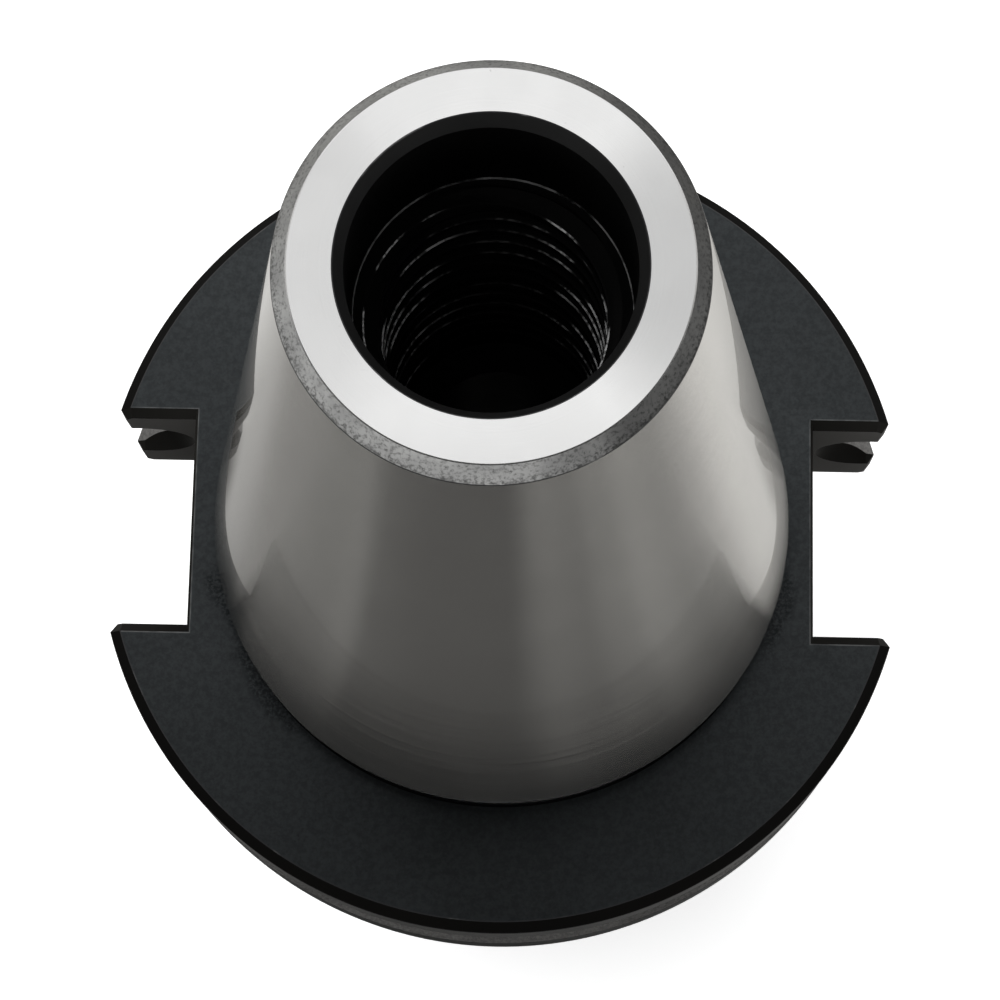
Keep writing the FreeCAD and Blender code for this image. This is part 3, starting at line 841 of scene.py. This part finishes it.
def ground_steel(name, colour, rough, aniso=0.0, cloud=0.94, grain=0.03, gloss=None):
    """Bare ground steel with fine grinding lines round the axis.

    cloud is how bright its darkest clouds are, and grain how much its fine grain takes off at most.
    """
    n = new_material(name)
    lines = n.noise((60.0, 60.0, 9000.0), 4.0, 0.6)
    clouds = n.blots((140.0, 140.0, 90.0), 0.3, 0.7, detail=5.0, rough=0.6)
    grains = n.blots(4200.0, 0.3, 0.7, 1.0 - grain, 1.0, detail=2.0, rough=0.8)
    base = n.scaled(n.mix(clouds, colour, toned(colour, cloud)), grains)
    roughness = n.fit(lines, 0.3, 0.7, rough - 0.02, rough + 0.03)
    if gloss:
        glossy = gloss(n)
        roughness = n.product(roughness, n.fit(glossy, 0.15, 1.0, 1.0, 0.6))
        n.shade(Coat_Weight=glossy, Coat_Roughness=0.03)
    n.shade(Base_Color=base, Metallic=1.0, Roughness=roughness, Anisotropic=aniso,
            Anisotropic_Rotation=ALONG_AXIS, Tangent=n.round_axis(), Normal=n.bump(lines, LINE_DEPTH, 0.3))
    return n.owner


def turned_end(name):
    """The small end's ring: bright turned steel with a painted sheen, its colour falling off to its left
    and right and behind.
    """
    n = new_material(name)
    across = n.add("ShaderNodeCombineXYZ", {"X": n.radius}).outputs[0]
    turns = n.add("ShaderNodeTexNoise", {"Vector": across, "Scale": 16000.0, "Detail": 3.0}).outputs[0]
    sideways = n.math("DIVIDE", n.place["X"], n.radius)
    # painted sheen: the colour is darkened to the right, the left and behind
    right = n.fit(sideways, *RING_RIGHT_PAINTED_SHADE_FADE)
    left = n.fit(n.math("MULTIPLY", sideways, -1.0), *RING_LEFT_PAINTED_SHADE_FADE)
    back = n.fit(n.place["Y"], *RING_BACK_PAINTED_SHADE_FADE)
    lines = n.fit(turns, 0.3, 0.7, 0.965, 1.0)
    marks = n.blots(1500.0, 0.7, 0.78, 1.0, 0.8, rough=0.7)
    clouded = n.mix(n.blots((260.0, 260.0, 1.0), 0.35, 0.65), *RING_TONES)
    colour = n.scaled(clouded, n.product(right, left, back, lines, marks))
    n.shade(Base_Color=colour, Metallic=1.0, Roughness=0.17, Anisotropic=0.2,
            Anisotropic_Rotation=ALONG_AXIS, Tangent=n.round_axis(), Normal=n.bump(turns, LINE_DEPTH, 0.3))
    return n.owner


def end_chamfer(name):
    """The taper's end chamfer: bare steel, stained dark in specks towards its outer edge, and with painted
    shade that darkens its right side.
    """
    n = new_material(name)
    stain = n.noise(4300.0, rough=0.7)
    specks = n.fit(n.math("ADD", stain, n.fit(n.place["Z"], *CHAMFER_STAIN_FADE)), 0.46, 0.78)
    bare = n.mix(n.blots(300.0, 0.35, 0.65), *CHAMFER_TONES)
    # painted shade: the colour is darker towards the right side
    colour = n.scaled(n.mix(specks, bare, CHAMFER_STAIN), n.fit(n.place["X"], *CHAMFER_RIGHT_PAINTED_SHADE_FADE))
    n.shade(Base_Color=colour, Metallic=1.0, Roughness=n.fit(stain, 0.3, 0.7, 0.3, 0.45),
            Normal=n.bump(stain, STAIN_DEPTH, 0.3))
    return n.owner


MATERIALS = {
    "taper": ground_steel("ground_taper", (0.56, 0.55, 0.53), 0.19, 1.0, grain=0.12, gloss=side_gloss),
    "end_face": turned_end("turned_end"),
    "end_chamfer": end_chamfer("end_chamfer"),
    "centre": black_oxide("centre_cone", (0.004, 0.004, 0.004), 0.45, (0.55, 0.55, 0.55)),
    # painted shade inside the drawbar hole: the pilot bore, the drill point and the thread are darker,
    # duller copies of the black oxide
    "pilot": black_oxide("pilot_bore", (0.0008, 0.0008, 0.0008), 0.5, (0.3, 0.3, 0.3)),
    "thread": black_oxide("drawbar_thread", (0.0009, 0.0009, 0.0009), 0.4, (0.3, 0.3, 0.3)),
    "glint": rubbed_crests_and_painted_glints("rubbed_crests_and_painted_glints"),
    "lip": rubbed_edge("pilot_lip", 0.38, 0.62, (0.75, 0.75, 0.75), 420.0),
    "bore": black_oxide("bore"),
    "black": black_oxide("black_oxide"),
    "bevel": black_oxide("black_bevel", (0.001, 0.00095, 0.00085), 0.4, WARM, level=0.02),
    "slot_bevel": black_oxide("black_slot_bevel", (0.0055, 0.0053, 0.0048), 0.4, WARM, level=0.02),
    "flange_top": black_oxide("black_flange", scuffs=flange_scuffs, edges=slot_edges),
    "groove": ground_steel("turned_groove", (0.21, 0.206, 0.2), 0.42, cloud=0.7, grain=0.4),
    "land": ground_steel("rubbed_land", (0.2, 0.2, 0.197), 0.5, cloud=0.7, grain=0.3),
    "slot": black_oxide("black_slot", (0.022, 0.0215, 0.0205), 0.42, (1, 0.97, 0.92)),
    "nose": black_oxide("black_nose"),
    # painted shadow in the crease round the neck's foot, darker and duller than the black oxide
    "crease": black_oxide("painted_neck_shadow", (0.0008, 0.0008, 0.0008), 0.6, NEUTRAL, level=0.02),
    "edge": rubbed_edge("worn_edge", 0.56, 0.74, (0.1, 0.1, 0.1)),
    "dark_edge": rubbed_edge("dark_edge", 0.55, 0.7),
    "bright_edge": ground_steel("bright_edge", (0.85, 0.85, 0.85), 0.25),
    "hole_thread": black_oxide("screw_hole"),
    "screw": black_oxide("screw_black", (0.006, 0.006, 0.0065), 0.3, NEUTRAL),
    "socket": black_oxide("socket_black", (0.005, 0.005, 0.0055), 0.4, NEUTRAL),
    "point": ground_steel("screw_point", (0.4, 0.4, 0.4), 0.4),
}


# Pieces

def make(name, skin, place=upright):
    """An object from a skin. All have the same material slots, so that a cutter's faces keep theirs."""
    mesh = skin.mesh(name, list(MATERIALS), place)
    for material in MATERIALS.values():
        mesh.materials.append(material)
    thing = bpy.data.objects.new(name, mesh)
    bpy.context.scene.collection.objects.link(thing)
    return thing


def smooth(thing):
    thing.data.shade_smooth()
    thing.data.set_sharp_from_angle(angle=SHARP)


def weld(mesh):
    """Joins the points that a cut leaves closer together than WELD."""
    work = bmesh.new()
    work.from_mesh(mesh)
    bmesh.ops.remove_doubles(work, verts=work.verts, dist=WELD * MM)
    work.to_mesh(mesh)
    work.free()


def cut(thing, cutter):
    """Takes the cutter out of the thing, and removes the cutter."""
    modifier = thing.modifiers.new("cut", "BOOLEAN")
    modifier.object = cutter
    modifier.operation = "DIFFERENCE"
    modifier.solver = "EXACT"
    modifier.material_mode = "INDEX"
    bpy.context.view_layer.update()
    graph = bpy.context.evaluated_depsgraph_get()
    mesh = bpy.data.meshes.new_from_object(thing.evaluated_get(graph))
    weld(mesh)
    thing.modifiers.clear()
    thing.data = mesh
    bpy.data.objects.remove(cutter)


holder = make("holder", holder_skin())
cut(holder, make("hole", hole_skin(), along_screw))
for side in (1, -1):
    cut(holder, make("spool", spool_skin(), across_slot(side)))
screw = make("side_lock_screw", screw_skin(), along_screw)
for thing, body, node, slot in ((holder, "holder", "holder_body", "ground_steel"),
                                (screw, "screw", "set_screw", "black_oxide_screw")):
    smooth(thing)
    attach(thing, body)
    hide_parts(node)


# Stage

def plane(name, x_low, x_high, y_low, y_high, z, material):
    corners = [(x_low, y_low, z), (x_high, y_low, z), (x_high, y_high, z), (x_low, y_high, z)]
    mesh = bpy.data.meshes.new(name)
    mesh.from_pydata(corners, [], [[0, 1, 2, 3]])
    mesh.materials.append(material)
    thing = bpy.data.objects.new(name, mesh)
    bpy.context.scene.collection.objects.link(thing)
    return thing


def floor_paint(name):
    """A pale floor that is white to the camera where no shadow falls."""
    n = new_material(name)
    n.shade(Base_Color=(*FLOOR_PAINT, 1), Roughness=1.0, Specular_IOR_Level=0.0,
            Emission_Color=(1, 1, 1, 1), Emission_Strength=n.product(n.seen, FLOOR_GLOW))
    return n.owner


def card(name, x_low, x_high, y_low, y_high, z, shade):
    """A card that only mirror-like surfaces see. shade is its brightness, or a function that builds it."""
    n = new_material(name)
    n.tree.nodes.remove(n.tree.nodes["Principled BSDF"])
    strength = shade(n) if callable(shade) else shade
    glow = n.add("ShaderNodeEmission", {"Color": (*CARD_TONE, 1), "Strength": strength})
    n.tree.links.new(glow.outputs[0], n.tree.nodes["Material Output"].inputs[0])
    thing = plane(name, x_low, x_high, y_low, y_high, z, n.owner)
    thing.visible_camera = thing.visible_diffuse = thing.visible_shadow = False
    thing.visible_transmission = thing.visible_volume_scatter = False


def floor_card_shade(n):
    """Dark in front, lighter at the sides and behind, and darker in the flange's shadow and far off."""
    ramp = n.add("ShaderNodeValToRGB", {"Fac": n.fit_line(n.turn, -180, 180)})
    stops = ramp.color_ramp.elements
    for angle, _ in FLOOR_CARD[1:-1]:
        stops.new(angle / 360 + 0.5)
    for stop, (angle, shade) in zip(stops, FLOOR_CARD):
        stop.position, stop.color = angle / 360 + 0.5, (shade, shade, shade, 1)
    shadow = n.math("SUBTRACT", n.radius, n.fit(n.place["Y"], *SHADE_BACK))
    side_rise = n.product(n.math("SUBTRACT", 1.0, n.sector(*FRONT)), n.fit(n.radius, *SIDE_RISE))
    band_rise = n.product(n.sector(*BAND), n.fit(n.radius, *BAND_RISE))
    rise = n.math("ADD", 1.0, n.math("ADD", side_rise, band_rise))
    return n.product(ramp.outputs["Color"], n.fit(shadow, *SHADE_NEAR), n.fit(n.radius, *SHADE_EDGE),
                     n.fit(n.radius, *SHADE_FAR), rise)


def area(name, at, aim, size, watts):
    """A soft round lamp that leaves no mirror image of its own."""
    light = bpy.data.lights.new(name, "AREA")
    light.shape, light.size, light.energy = "DISK", size, watts
    thing = bpy.data.objects.new(name, light)
    thing.visible_glossy = False
    thing.location = at
    thing.rotation_euler = (Vector(aim) - Vector(at)).to_track_quat("-Z", "Y").to_euler()
    bpy.context.scene.collection.objects.link(thing)


def white_world():
    """White where it is seen directly or mirrored, softer as a light."""
    n = Nodes(bpy.data.worlds.new("world"))
    bpy.context.scene.world = n.owner
    background = n.tree.nodes["Background"]
    n.put(background.inputs["Color"], (1, 1, 1, 1))
    n.put(background.inputs["Strength"], n.fit_line(n.seen, 0.0, 1.0, WORLD_LIGHT, 1.0))


plane("floor", -FLOOR_REACH, FLOOR_REACH, -FLOOR_REACH, FLOOR_REACH, FLOOR_Z, floor_paint("floor_paint"))
card("card_floor", -FLOOR_CARD_REACH, FLOOR_CARD_REACH, -FLOOR_CARD_REACH, FLOOR_CARD_REACH,
     FLOOR_CARD_Z, floor_card_shade)
for name, extent_and_brightness in CARDS.items():
    card(name, *extent_and_brightness)
white_world()
area("key", LAMP_AT, LAMP_AIM, LAMP_SIZE, LAMP_WATTS)

camera = bpy.data.objects.new("camera", bpy.data.cameras.new("camera"))
camera.data.lens, camera.data.sensor_width = LENS, SENSOR
camera.location = CAMERA_AT
camera.rotation_euler = [math.radians(angle) for angle in CAMERA_TURN]
bpy.context.scene.collection.objects.link(camera)
bpy.context.scene.camera = camera
bpy.context.scene.view_settings.view_transform = "Standard"
